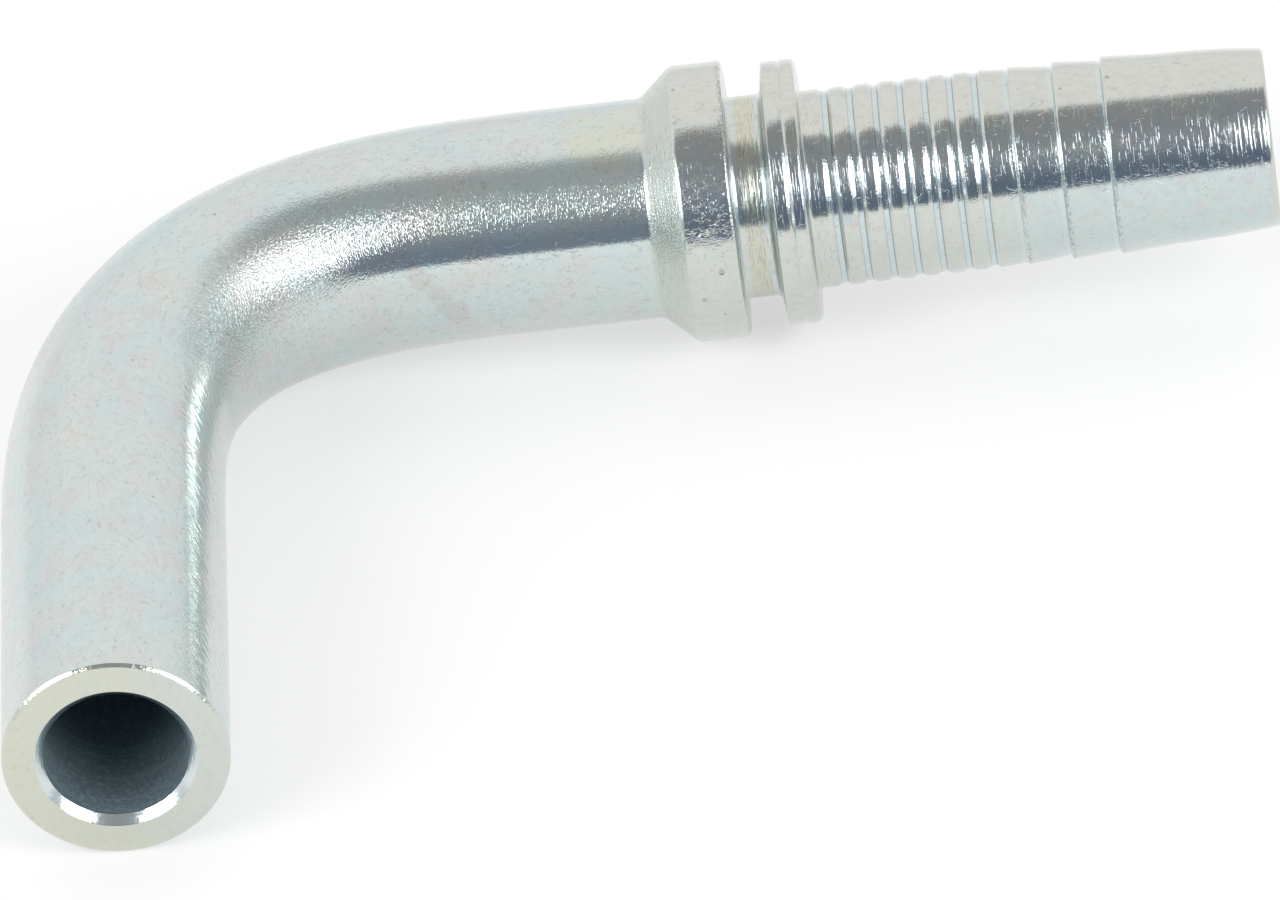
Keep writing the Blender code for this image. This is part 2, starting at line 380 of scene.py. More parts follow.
def bent_path(add, given):
    """Centreline as a running sum of short steps, each along the heading at its middle."""
    step = given["Path Step"]
    line = add("GeometryNodeMeshLine", {"Count": given["Path Points"]})
    middle = add(MATH, [add("GeometryNodeInputIndex"), 0.5], operation="ADD")
    middle = add(MATH, [middle, step], operation="MULTIPLY")
    travelled = add(MATH, [middle, given["Straight Before Bend"]], operation="SUBTRACT")
    heading = bend_heading(add, given, travelled)
    direction = add(
        "ShaderNodeCombineXYZ",
        [add(MATH, [heading], operation="SINE"), add(MATH, [heading], operation="COSINE")],
    )
    stride = add(VECTOR_MATH, {0: direction, "Scale": step}, operation="SCALE")
    summed = add("GeometryNodeAccumulateField", {"Value": stride}, data_type="FLOAT_VECTOR")
    summed = summed.outputs["Trailing"]
    line = add("GeometryNodeSetPosition", {"Geometry": line, "Position": summed})
    return add("GeometryNodeMeshToCurve", {"Mesh": line})


def carried_place(add, given):
    """Where each point of the blank goes: its ring stands square to the path, narrowed in the bend."""
    path = bent_path(add, given)
    along, across, up = add("ShaderNodeSeparateXYZ", [add("GeometryNodeInputPosition")]).outputs
    travelled = add(MATH, [along, given["Straight Before Bend"]], operation="SUBTRACT")
    heading = bend_heading(add, given, travelled)
    share_turned = add(MATH, [heading, given["Bend Angle"]], operation="DIVIDE")
    swell = add(MATH, [add(MATH, [share_turned, math.pi], operation="MULTIPLY")], operation="SINE")
    narrowing = add(MATH, [swell, given["Flattening"]], operation="MULTIPLY")
    across = add(MATH, [across, add(MATH, [1.0, narrowing], operation="SUBTRACT")], operation="MULTIPLY")
    away = add(MATH, [across, -1.0], operation="MULTIPLY")
    arm = add(
        "ShaderNodeCombineXYZ",
        [
            add(MATH, [away, add(MATH, [heading], operation="COSINE")], operation="MULTIPLY"),
            add(MATH, [across, add(MATH, [heading], operation="SINE")], operation="MULTIPLY"),
            up,
        ],
    )
    bend_end = add(MATH, [given["Bend Entry Length"], given["Bend Exit Length"]], operation="ADD")
    bend_end = add(MATH, [bend_end, given["Straight Before Bend"]], operation="ADD")
    centre, end = (
        add("GeometryNodeSampleCurve", {"Curves": path, "Length": length}, mode="LENGTH").outputs["Position"]
        for length in (along, bend_end)
    )
    corner = add(VECTOR_MATH, [end, (0.0, 1.0, 0.0)], operation="MULTIPLY")
    bent = add(VECTOR_MATH, [centre, arm], operation="ADD")
    return add(VECTOR_MATH, [bent, corner], operation="SUBTRACT")


def finish_by_zone(add, given, pipe, finishes):
    """One finish for each zone of the outline. The first covers all, and the others go over it."""
    number = add(MATH, [add("GeometryNodeInputIndex"), 0.5], operation="ADD")
    ring = add(MATH, [add(MATH, [number, given["Segments Round"]], operation="DIVIDE")], operation="FLOOR")
    zone = add(
        "GeometryNodeSampleIndex",
        {
            "Geometry": given["Wall Outline"],
            "Value": add("GeometryNodeInputNamedAttribute", {"Name": "zone"}, data_type="INT"),
            "Index": ring,
        },
        data_type="INT",
    )
    pipe = add("GeometryNodeSetMaterial", {"Geometry": pipe, "Material": finishes[0]})
    for zone_number, finish in enumerate(finishes[1:], start=1):
        chosen = add(MATH, [zone, float(zone_number), 0.1], operation="COMPARE")
        pipe = add("GeometryNodeSetMaterial", {"Geometry": pipe, "Selection": chosen, "Material": finish})
    return pipe


def turn_and_bend_tree(finishes):
    """Turn the outline round the X axis, bend the plain length and lay the piece down."""
    tree = bpy.data.node_groups.new("turned_then_bent", "GeometryNodeTree")
    tree.is_modifier = True
    tree.interface.new_socket("Wall Outline", in_out="INPUT", socket_type="NodeSocketGeometry")
    measures = ("Plain Length", "Straight Before Bend", "Bend Entry Length", "Bend Exit Length")
    measures += ("Bend Angle", "Flattening", "Path Step", "Rest Roll", "Waviness Height")
    measures += ("Waviness Size", "Seed")
    for name in measures:
        tree.interface.new_socket(name, in_out="INPUT", socket_type="NodeSocketFloat")
    for name in ("Segments Round", "Outline Points", "Path Points"):
        tree.interface.new_socket(name, in_out="INPUT", socket_type="NodeSocketInt")
    tree.interface.new_socket("Resting Place", in_out="INPUT", socket_type="NodeSocketVector")
    tree.interface.new_socket("Pipe", in_out="OUTPUT", socket_type="NodeSocketGeometry")
    add = partial(add_node, tree)
    given = add("NodeGroupInput").outputs
    blank = drawn_waviness(add, given, lathe_sheet(add, given))
    pipe = add("GeometryNodeSetPosition", {"Geometry": blank, "Position": carried_place(add, given)})
    roll = add("ShaderNodeCombineXYZ", {"Y": add(MATH, [given["Rest Roll"], -1.0], operation="MULTIPLY")})
    pipe = add(
        "GeometryNodeTransform", {"Geometry": pipe, "Translation": given["Resting Place"], "Rotation": roll}
    )
    pipe = add("GeometryNodeFlipFaces", {"Mesh": pipe})
    pipe = add("GeometryNodeRealizeInstances", {"Geometry": pipe})
    add("NodeGroupOutput", [finish_by_zone(add, given, pipe, finishes)])
    return tree


def give_inputs(modifier, values):
    """Set a modifier's inputs by the identifiers of their sockets."""
    for item in modifier.node_group.interface.items_tree:
        if item.item_type == "SOCKET" and item.in_out == "INPUT" and item.name in values:
            modifier[item.identifier] = values[item.name]


def make_pipe(finishes):
    """Draw the outline, run the tree on it once and keep the result as a plain object."""
    outline = wall_outline()
    drawing = bpy.data.meshes.new("wall_outline")
    edges = [(number, (number + 1) % len(outline)) for number in range(len(outline))]
    drawing.from_pydata([(along * MM, radius * MM, 0.0) for along, radius, _ in outline], edges, [])
    zones = drawing.attributes.new("zone", "INT", "POINT")
    zones.data.foreach_set("value", [zone for _, _, zone in outline])
    carrier = bpy.data.objects.new("wall_outline", drawing)
    bpy.context.collection.objects.link(carrier)
    modifier = carrier.modifiers.new("turned_then_bent", "NODES")
    modifier.node_group = turn_and_bend_tree(finishes)
    give_inputs(
        modifier,
        {
            "Plain Length": PLAIN_END * MM,
            "Straight Before Bend": STANDPIPE_STRAIGHT * MM,
            "Bend Entry Length": BEND_ENTRY_LENGTH * MM,
            "Bend Exit Length": BEND_EXIT_LENGTH * MM,
            "Bend Angle": BEND_ANGLE,
            "Flattening": BEND_FLATTENING / PIPE_RADIUS,
            "Path Step": (NOSE_END + PATH_SPARE) * MM / PATH_POINTS,
            "Path Points": PATH_POINTS,
            "Rest Roll": REST_ROLL,
            "Resting Place": CORNER,
            "Waviness Height": WAVINESS_HEIGHT * MM,
            "Waviness Size": WAVINESS_SIZE * MM,
            "Seed": WAVINESS_SEED,
            "Segments Round": SEGMENTS_ROUND,
            "Outline Points": len(outline),
        },
    )
    bpy.context.view_layer.update()
    graph = bpy.context.evaluated_depsgraph_get()
    mesh = bpy.data.meshes.new_from_object(carrier.evaluated_get(graph), depsgraph=graph)
    carrier.modifiers.clear()
    bpy.data.objects.remove(carrier)
    mesh.name = "zinc_plated_pipe"
    if mesh.materials[0] is None:
        mesh.materials.pop(index=0)
    mesh.shade_smooth()
    mesh.set_sharp_from_angle(angle=SHARP_ANGLE)
    pipe = bpy.data.objects.new("zinc_plated_pipe", mesh)
    bpy.context.collection.objects.link(pipe)
    return pipe


# Place of the piece, from the reach of the bend and the roll that lays the collar down

def bend_reaches():
    """How far the bend reaches along each leg from the crossing of the two axes, in millimetres."""
    total = BEND_ENTRY_LENGTH + BEND_EXIT_LENGTH
    middle = (np.arange(PATH_POINTS) + 0.5) * total / PATH_POINTS
    sharpest = BEND_ANGLE / total
    rising = sharpest * middle ** 2 / BEND_ENTRY_LENGTH
    falling = BEND_ANGLE - sharpest * (total - middle) ** 2 / BEND_EXIT_LENGTH
    heading = np.where(middle > BEND_ENTRY_LENGTH, falling, rising)
    step = total / PATH_POINTS
    return float(np.cos(heading).sum() * step), float(np.sin(heading).sum() * step)


entry_reach, exit_reach = bend_reaches()
collar_reach = exit_reach + TAIL_STRAIGHT + CONE_LENGTH
ground_angle = math.asin(PIPE_RADIUS / math.hypot(collar_reach, COLLAR_RADIUS))
REST_ROLL = math.atan2(COLLAR_RADIUS, collar_reach) - ground_angle
CORNER = Vector((
    cad_low.x + PIPE_RADIUS * MM,
    cad_low.y + (STANDPIPE_STRAIGHT + entry_reach) * MM,
    cad_low.z + PIPE_RADIUS * MM,
))


# Marks of the finishes, all on the straight blank in millimetres

def blank_place(add):
    """Place on the straight blank, from the attribute that the tree stores."""
    return add("ShaderNodeAttribute", attribute_name="blank_mm").outputs["Vector"]


def grain(add, along, around, detail=2.0, start=0.0, swirl=0.0, slant=0.0):
    """Uneven grain about zero whose lumps measure along by around millimetres.

    Start shifts the pattern, and slant turns its lumps aside, in radians.
    """
    scaled = add(
        "ShaderNodeMapping",
        [blank_place(add), (start, 0.0, 0.0), (0.0, slant, 0.0), (along, around, around)],
        vector_type="TEXTURE",
    )
    noise = add(
        "ShaderNodeTexNoise", {"Vector": scaled, "Scale": 1.0, "Detail": detail, "Distortion": swirl}
    )
    return add(MATH, [noise, 0.5], operation="SUBTRACT")


def hairlines(add, size, width, share, start):
    """Short ragged hairlines, one where they are and zero elsewhere, drawn as cut contours of a grain."""
    level = add(MATH, [grain(add, size, size * 0.6, 3.0, start)], operation="ABSOLUTE")
    line = add(MAP_RANGE, [level, width, width * 0.3])
    broken = add(MAP_RANGE, [grain(add, size * 0.7, size * 0.5, 2.0, start + 31.0), share, share + 0.05])
    return add(MATH, [line, broken], operation="MULTIPLY")


def mottled(add, colour, dark, strength, start):
    """Colour with the faint uneven darkening of a thin zinc coat, in lumps of half a millimetre and less."""
    fine = add(MAP_RANGE, [grain(add, 0.5, 0.4, 5.0, start), -0.05, 0.25])
    return lay_over(add, colour, linear(dark), fine, strength)


def creased(add, pattern):
    """Sharp creases where a pattern crosses zero, as in crinkled foil."""
    return add(MATH, [pattern], operation="ABSOLUTE")


def turning_lines(add, pitch, start):
    """Even lines left by a turning tool, a wave along the piece that fades in and out around it."""
    along = add("ShaderNodeSeparateXYZ", [blank_place(add)]).outputs["X"]
    place = add(MATH, [grain(add, 0.5, 2.5, 1.0, start), 0.6 * pitch, along], operation="MULTIPLY_ADD")
    wave = add(MATH, [add(MATH, [place, math.tau / pitch], operation="MULTIPLY")], operation="SINE")
    strength = add(MAP_RANGE, [grain(add, 0.16, 1.6, 1.0, start + 7.0), -0.12, 0.10, 0.25, 1.0])
    return add(MATH, [wave, strength], operation="MULTIPLY")


def peaks(add, pattern, level, full=0.30):
    """Only the tops of a pattern: zero under the level, which may change along the piece."""
    over = add(MATH, [pattern, level], operation="SUBTRACT")
    return add(MAP_RANGE, [over, 0.0, full])


def along_piece(add, stops):
    """Value that changes along the blank, from stops of (station, value)."""
    along = add("ShaderNodeSeparateXYZ", [blank_place(add)]).outputs["X"]
    first, last = stops[0][0], stops[-1][0]
    share = add(MAP_RANGE, [along, first, last])
    ramp = add("ShaderNodeValToRGB", [share])
    elements = ramp.color_ramp.elements
    while len(elements) < len(stops):
        elements.new(1.0)
    for element, (station, value) in zip(elements, stops):
        element.position = (station - first) / (last - first)
        element.color = (value, value, value, 1.0)
    return ramp.outputs["Color"]


def at_each_barb(add, stops):
    """Value that changes the same way at every barb, from stops of (station past its edge, value)."""
    edges = [FIRST_BARB + sum(BARB_LENGTHS[:index]) for index in range(len(BARB_LENGTHS))]
    return along_piece(add, [(edge + past, value) for edge in edges for past, value in stops])


def heights_summed(add, layers):
    """Height in millimetres of layers given as (height, pattern, share of it or None)."""
    total = 0.0
    for height, pattern, share in layers:
        if share is not None:
            pattern = add(MATH, [pattern, share], operation="MULTIPLY")
        total = add(MATH, [pattern, height, total], operation="MULTIPLY_ADD")
    return total


def lay_over(add, under, over, share, strength=1.0):
    """Colour over, laid on colour under by a share times a strength.

    The mix node's colours are its inputs 6 and 7 and its output 2.
    """
    if strength != 1.0:
        share = add(MATH, [share, strength], operation="MULTIPLY")
    return add("ShaderNodeMix", {0: share, 6: under, 7: over}, data_type="RGBA").outputs[2]


def spots(add, places, ragged=0.5, lump=0.5):
    """Soft-rimmed spots, each given as (station, across, up, size), that share one ragged rim."""
    total = 0.0
    rim = grain(add, lump, lump, 3.0, 61.0)
    rim_reach = ragged * 4.0
    for along, across, up, size in places:
        reach = add(VECTOR_MATH, [blank_place(add), (along, across, up)], operation="DISTANCE")
        reach = add(MATH, [rim, size * rim_reach, reach.outputs["Value"]], operation="MULTIPLY_ADD")
        spot = add(MAP_RANGE, [reach, size, size * 0.4], interpolation_type="SMOOTHSTEP")
        total = add(MATH, [total, spot], operation="MAXIMUM")
    return total


def round_share(add):
    """Height of the surface point over its radius, from one on top to minus one below, and that radius."""
    place = blank_place(add)
    radial = add(VECTOR_MATH, [place, (0.0, 1.0, 1.0)], operation="MULTIPLY")
    radius = add(VECTOR_MATH, [radial], operation="LENGTH").outputs["Value"]
    up = add("ShaderNodeSeparateXYZ", [place]).outputs["Z"]
    return add(MATH, [up, radius], operation="DIVIDE"), radius


def new_finish(name):
    """Material with a metal shader, and the function that adds its nodes."""
    material = bpy.data.materials.new(name)
    material.use_nodes = True
    shader = material.node_tree.nodes["Principled BSDF"]
    shader.inputs["Metallic"].default_value = 1.0
    return material, shader, partial(add_node, material.node_tree)


def wire_finish(add, shader, colour, roughness, height, spread):
    """Wire colour, roughness and height in millimetres. Spread draws the gloss out along the pipe."""
    tree = shader.id_data
    bump = add("ShaderNodeBump", {"Height": height, "Distance": MM})
    tree.links.new(colour, shader.inputs["Base Color"])
    tree.links.new(bump.outputs[0], shader.inputs["Normal"])
    if isinstance(roughness, float):
        shader.inputs["Roughness"].default_value = roughness
    else:
        tree.links.new(roughness, shader.inputs["Roughness"])
    if spread:
        shader.inputs["Anisotropic"].default_value = spread
        tangent = add("ShaderNodeTangent", direction_type="UV_MAP", uv_map="along_and_round")
        tree.links.new(tangent.outputs[0], shader.inputs["Tangent"])


def drawn_colour(add, lines, nicks):
    """Pale blue-green going over to cream and pink in soft clouds, with a smear on the tail's leg."""
    cream = add(MAP_RANGE, [grain(add, 4.0, 3.0, 3.0, 3.0), -0.15, 0.30])
    colour = lay_over(add, linear("#CBD9D9"), linear("#D7D9D2"), cream)
    pink = add(MAP_RANGE, [grain(add, 2.4, 1.6, 5.0, 17.0), 0.0, 0.30])
    colour = lay_over(add, colour, linear("#D5CCCC"), pink, 0.7)
    colour = mottled(add, colour, "#A9B0B0", 0.16, 90.0)
    straw = spots(add, [(66.0, -0.9, 5.9, 3.4)], 0.4, 2.5)
    colour = lay_over(add, colour, linear("#D9D7B4"), straw, 0.3)
    smear = spots(add, [
        (54.2, -5.7, 1.5, 0.7),
        (54.8, -5.9, 0.9, 0.9),
        (55.5, -6.0, 0.1, 1.0),
        (56.2, -5.9, -0.8, 1.1),
        (56.8, -5.8, -1.6, 1.0),
    ], 0.5, 0.9)
    colour = lay_over(add, colour, linear("#C2B1A8"), smear, 0.3)
    colour = lay_over(add, colour, linear("#A79E98"), lines, 0.45)
    return lay_over(add, colour, linear("#8A8E8E"), nicks, 0.5)


def drawn_height(add, share_up, lines, nicks):
    """Height of the drawn pipe's grain and marks, strongest on the bend and faint on top."""
    worked = along_piece(add, [
        (BEND_START + 9.0, 0.1),
        (BEND_START + 12.0, 1.0),
        (BEND_START + 26.0, 1.0),
        (BEND_START + 32.0, 0.1),
    ])
    upper = add(MAP_RANGE, [share_up, 0.40, 0.56, 0.16, 1.0])
    ruffled = add(MATH, [upper, worked], operation="MAXIMUM")
    on_top = add(MAP_RANGE, [share_up, 0.74, 0.92, 1.0, 0.30])
    ruffled = add(MATH, [ruffled, on_top], operation="MULTIPLY")
    full = [(BEND_START + 12.5, 1.0), (BEND_START + 28.0, 1.0)]
    on_bend = along_piece(add, [(BEND_START + 9.0, 0.08), *full, (BEND_END - 6.0, 0.70)])
    stretched = along_piece(add, [
        (BEND_START + 9.0, 0.03),
        *full,
        (BEND_END - 4.0, 0.55),
        (BEND_END + 3.0, 0.42),
    ])
    across_grain = add(MATH, [grain(add, 0.07, 0.36, 1.0, 5.0), on_bend], operation="MULTIPLY")
    stretched_grain = add(MATH, [grain(add, 0.10, 0.12, 1.0, 50.0), stretched], operation="MULTIPLY")
    standpipe_side = along_piece(add, [(BEND_START + 10.0, 1.0), (BEND_START + 14.0, 0.0)])
    below_top = add(MAP_RANGE, [share_up, 0.74, 0.64])
    inner_side = add(MATH, [standpipe_side, below_top], operation="MULTIPLY")
    return heights_summed(add, [
        (0.032, across_grain, ruffled),
        (0.036, stretched_grain, ruffled),
        (0.027, grain(add, 0.24, 0.90, 1.0, 60.0, slant=0.9), inner_side),
        (-0.0015, lines, None),
        (-0.02, nicks, None),
    ])


def drawn_zinc():
    """Cold-drawn pipe, zinc plated and clear passivated.

    A dense fine grain across the pipe breaks reflections up, coarser where the bend stretched it, and
    slanted fibres break up the long highlight on the standpipe. Both are drawn coarse enough to show.
    """
    material, shader, add = new_finish("drawn_pipe_clear_passivated_zinc")
    share_up, _ = round_share(add)
    lines = hairlines(add, 0.9, 0.014, -0.06, 8.0)
    nicks = spots(add, [
        (43.5, -0.5, 6.0, 0.14),
        (28.8, -1.6, 5.8, 0.10),
        (17.9, -3.0, 5.2, 0.12),
        (16.1, -2.8, 5.3, 0.10),
    ])
    colour = drawn_colour(add, lines, nicks)
    height = drawn_height(add, share_up, lines, nicks)
    rough = add(MAP_RANGE, [share_up, 0.50, 0.80, 0.11, 0.22]).outputs[0]
    shader.inputs["Metallic"].default_value = 0.90
    wire_finish(add, shader, colour, rough, height, 0.6)
    return material


def turned_tints(add, share_up):
    """Colour of the turned steel, creamy on top and bluer lower as painted reflections that follow which way
    the surface faces, and how much a place is on its side.
    """
    clouds = grain(add, 1.6, 1.2, 3.0, 23.0)
    # Painted reflections by facing: cream where the surface faces up, the darker blue-grey base round the
    # middle, paler and greener on the sides below
    top = add(MAP_RANGE, [add(MATH, [clouds, 0.5, share_up], operation="MULTIPLY_ADD"), 0.74, 0.92])
    side = add(MAP_RANGE, [add(MATH, [clouds, 1.0, share_up], operation="MULTIPLY_ADD"), 0.42, 0.25])
    colour = lay_over(add, linear("#C3CCD0"), linear("#D2D5CD"), top)
    colour = lay_over(add, colour, linear("#CFD5CF"), side)
    # Painted reflection: bluer on the lower sides of the barbs and the nose
    bluer = along_piece(add, [(LAST_GROOVE, 0.0), (FIRST_BARB + 1.0, 1.0), (NOSE_END, 1.0)])
    bluer = add(MATH, [bluer, side], operation="MULTIPLY")
    colour = lay_over(add, colour, linear("#CBD7D7"), bluer)
    pink = add(MAP_RANGE, [grain(add, 0.7, 0.9, 4.0, 41.0), 0.02, 0.30])
    colour = lay_over(add, colour, linear("#D3C7C9"), pink, 0.7)
    straw = add(MAP_RANGE, [grain(add, 1.2, 0.9, 4.0, 57.0), 0.0, 0.25])
    return lay_over(add, colour, linear("#D8D6C6"), straw, 0.35), side


def groove_painted_light(add, colour, on_grooves):
    """Colour with a pale painted reflection on each groove's floor and a line of painted shade at either
    side of it.
    """
    along = add("ShaderNodeSeparateXYZ", [blank_place(add)]).outputs["X"]
    beside = add(MATH, [along, FIRST_GROOVE], operation="SUBTRACT")
    beside = add(MATH, [add(MATH, [beside, GROOVE_PITCH], operation="DIVIDE"), 0.5], operation="ADD")
    beside = add(MATH, [add(MATH, [beside], operation="FRACT"), 0.5], operation="SUBTRACT")
    beside = add(MATH, [beside, GROOVE_PITCH], operation="MULTIPLY")
    # Pale floor: painted reflection; the two dark lines: painted shade on the groove's steep walls
    for middle, reach, tint, strength in (
        (0.0, 0.14, "#CBDADD", 0.9),
        (0.16, 0.045, "#7F8A8D", 0.7),
        (-0.16, 0.035, "#8A9496", 0.45),
    ):
        painted_stripe = add(MATH, [add(MATH, [beside, middle], operation="SUBTRACT")], operation="ABSOLUTE")
        painted_stripe = add(MAP_RANGE, [painted_stripe, reach, reach - 0.025])
        painted_stripe = add(MATH, [painted_stripe, on_grooves], operation="MULTIPLY")
        colour = lay_over(add, colour, linear(tint), painted_stripe, strength)
    return colour


def form_tints(add, colour, cone):
    """Colour with a straw neck that is painted light at its ends against the shade of its corners, a greener
    cone and a pale painted reflection at the roots of the barbs.
    """
    yellow = along_piece(add, [
        (COLLAR_END + 0.4, 0.0),
        (COLLAR_END + 0.6, 1.0),
        (FLANGE_START - 0.8, 1.0),
        (FLANGE_START - 0.6, 0.0),
    ])
    colour = lay_over(add, colour, linear("#D3CDB4"), yellow, 0.5)
    # Painted light: the neck's ends are laid paler to lift the shade in the corners beside the collar and
    # the flange
    pale = along_piece(add, [
        (COLLAR_END - 0.05, 0.0),
        (COLLAR_END, 0.5),
        (COLLAR_END + 0.38, 0.5),
        (COLLAR_END + 0.50, 0.0),
        (FLANGE_START - 0.60, 0.0),
        (FLANGE_START - 0.50, 1.0),
        (FLANGE_START - 0.02, 1.0),
        (FLANGE_START + 0.02, 0.0),
    ])
    colour = lay_over(add, colour, linear("#D4DCDB"), pale, 0.9)
    colour = lay_over(add, colour, linear("#CAD2CA"), cone, 0.7)
    # Painted reflection: a pale stripe before each barb's step, where its hollow root catches the light
    roots = at_each_barb(add, [(-0.40, 0.0), (-0.30, 1.0), (-0.12, 1.0), (-0.02, 0.0)])
    return lay_over(add, colour, linear("#D0DCDC"), roots, 0.8)


def turned_nicks(add):
    """Nicks in the collar and the flange's root, and in a row along the top of the nose."""
    return spots(add, [
        (72.58, 1.9, 7.3, 0.20),
        (72.63, 0.1, 7.5, 0.16),
        (72.66, -0.8, 7.4, 0.22),
        (72.7, -2.6, 7.1, 0.14),
        (70.1, -0.2, 7.5, 0.12),
        (71.6, -7.5, 0.3, 0.20),
        (70.5, -7.4, -1.5, 0.16),
        (71.5, -7.0, -2.8, 0.14),
        (79.5, -3.7, -3.6, 0.12),
        (90.9, -1.0, 5.2, 0.13),
        (93.5, -0.5, 5.3, 0.15),
        (97.1, 0.5, 5.05, 0.13),
        (97.3, 0.4, 5.05, 0.14),
        (97.5, 0.3, 5.05, 0.15),
        (97.7, 0.15, 5.05, 0.15),
        (97.9, 0.05, 5.05, 0.14),
        (98.2, 0.3, 5.0, 0.13),
    ])


def burrs(add, share_up, side):
    """Ragged burrs along the barbs' edges and on top of the collar's edge."""
    barb_edges = at_each_barb(add, [(-0.10, 0.0), (-0.02, 1.0), (0.10, 1.0), (0.22, 0.0)])
    collar_edge = along_piece(add, [
        (COLLAR_END - 0.32, 0.0),
        (COLLAR_END - 0.14, 1.0),
        (COLLAR_END - 0.02, 1.0),
        (COLLAR_END, 0.0),
    ])
    ragged = add(MAP_RANGE, [grain(add, 0.12, 0.22, 3.0, 52.0), -0.02, 0.10])
    burr = add(MATH, [barb_edges, side], operation="MULTIPLY")
    knocked = add(MATH, [collar_edge, add(MAP_RANGE, [share_up, 0.70, 0.85])], operation="MULTIPLY")
    return add(MATH, [add(MATH, [burr, knocked], operation="MAXIMUM"), ragged], operation="MULTIPLY")


def foil_shares(add, share_up):
    """How far the plating is wrinkled and how far it is crumpled, both in patches."""
    patches = add(MAP_RANGE, [grain(add, 1.1, 0.8, 2.0, 88.0), -0.10, 0.15, 0.25, 1.0])
    wrinkled = along_piece(add, [
        (COLLAR_START - 0.1, 0.2),
        (COLLAR_START, 1.0),
        (COLLAR_END, 1.0),
        (COLLAR_END + 0.1, 0.1),
        (FLANGE_END, 0.2),
        (FIRST_BARB, 0.5),
        (NOSE_START, 0.5),
        (NOSE_START + 2.5, 0.3),
        (NOSE_END, 0.2),
    ])
    wrinkled = add(MATH, [wrinkled, patches], operation="MULTIPLY")
    off_top = add(MAP_RANGE, [share_up, 0.85, 0.95, 1.0, 0.4])
    wrinkled = add(MATH, [wrinkled, off_top], operation="MULTIPLY")
    crumpled = along_piece(add, [
        (COLLAR_START - 0.02, 0.0),
        (COLLAR_START, 1.0),
        (COLLAR_END, 1.0),
        (COLLAR_END + 0.02, 0.0),
        (FIRST_BARB, 0.0),
        (FIRST_BARB + 1.0, 0.35),
        (NOSE_START + 2.5, 0.35),
        (NOSE_END - 2.0, 0.15),
    ])
    low_band = add(MAP_RANGE, [share_up, 0.88, 0.60])
    low_band = add(MATH, [low_band, add(MAP_RANGE, [share_up, 0.27, 0.33])], operation="MULTIPLY")
    crumpled = add(MATH, [crumpled, low_band], operation="MULTIPLY")
    crumpled = add(MATH, [crumpled, patches], operation="MULTIPLY")
    return wrinkled, crumpled


def turned_height(add, share_up, on_grooves, cone, marks):
    """Height of the turning marks, the wrinkled plating, the grain and the marks given."""
    marks_level = along_piece(add, [
        (CONE_START, 0.10),
        (COLLAR_START - 0.05, 0.10),
        (COLLAR_START, 0.26),
        (COLLAR_END, 0.26),
        (COLLAR_END + 0.05, 0.20),
        (COLLAR_END + 0.45, 0.20),
        (COLLAR_END + 0.55, 0.07),
        (FLANGE_START - 0.3, 0.07),
        (FLANGE_START - 0.2, 0.20),
        (FLANGE_START + 0.1, 0.12),
        (FLANGE_END, 0.12),
        (FLANGE_END + 0.5, 0.08),
        (FIRST_GROOVE - 0.4, 0.15),
        (LAST_GROOVE, 0.18),
        (FIRST_BARB, 0.12),
        (FIRST_BARB + 1.0, 0.17),
        (NOSE_START, 0.17),
        (NOSE_START + 1.2, 0.14),
        (NOSE_END - 2.9, 0.12),
        (NOSE_END - 2.7, 0.20),
        (NOSE_END, 0.20),
    ])
    wrinkled, crumpled = foil_shares(add, share_up)
    mirrored = add(
        MATH,
        [add(MAP_RANGE, [share_up, 0.27, 0.40]), add(MAP_RANGE, [share_up, 0.96, 0.84])],
        operation="MULTIPLY",
    )
    on_neck = along_piece(add, [
        (COLLAR_END + 0.40, 0.15),
        (COLLAR_END + 0.60, 1.0),
        (FLANGE_START - 0.50, 1.0),
        (FLANGE_START - 0.35, 0.0),
    ])
    at_mouth = along_piece(add, [(NOSE_END - 2.75, 0.0), (NOSE_END - 2.60, 1.0), (NOSE_END - 0.1, 1.0)])
    on_neck, at_mouth, in_grooves = (
        add(MATH, [share, mirrored], operation="MULTIPLY") for share in (on_neck, at_mouth, on_grooves)
    )
    scuff = spots(add, [(71.76, -6.41, 3.99, 0.55)], 0.6)
    return heights_summed(add, [
        (0.022, peaks(add, grain(add, 0.05, 1.1, 1.0, 15.0), marks_level), None),
        (0.006, grain(add, 0.08, 0.8, 1.0, 33.0), None),
        (0.010, grain(add, 0.09, 0.14, 2.0, 250.0), mirrored),
        (0.003, turning_lines(add, 0.12, 260.0), in_grooves),
        (0.014, grain(add, 0.36, 0.18, 2.0, 70.0, swirl=1.6), wrinkled),
        (0.085, creased(add, grain(add, 0.42, 0.30, 1.0, 170.0, swirl=1.2)), crumpled),
        (0.014, turning_lines(add, 0.21, 210.0), on_neck),
        (0.010, turning_lines(add, 0.27, 230.0), at_mouth),
        (0.014, grain(add, 0.07, 0.5, 1.0, 190.0, slant=0.6), scuff),
        (0.030, grain(add, 0.09, 0.09, 1.0, 140.0), cone),
        *marks,
    ])


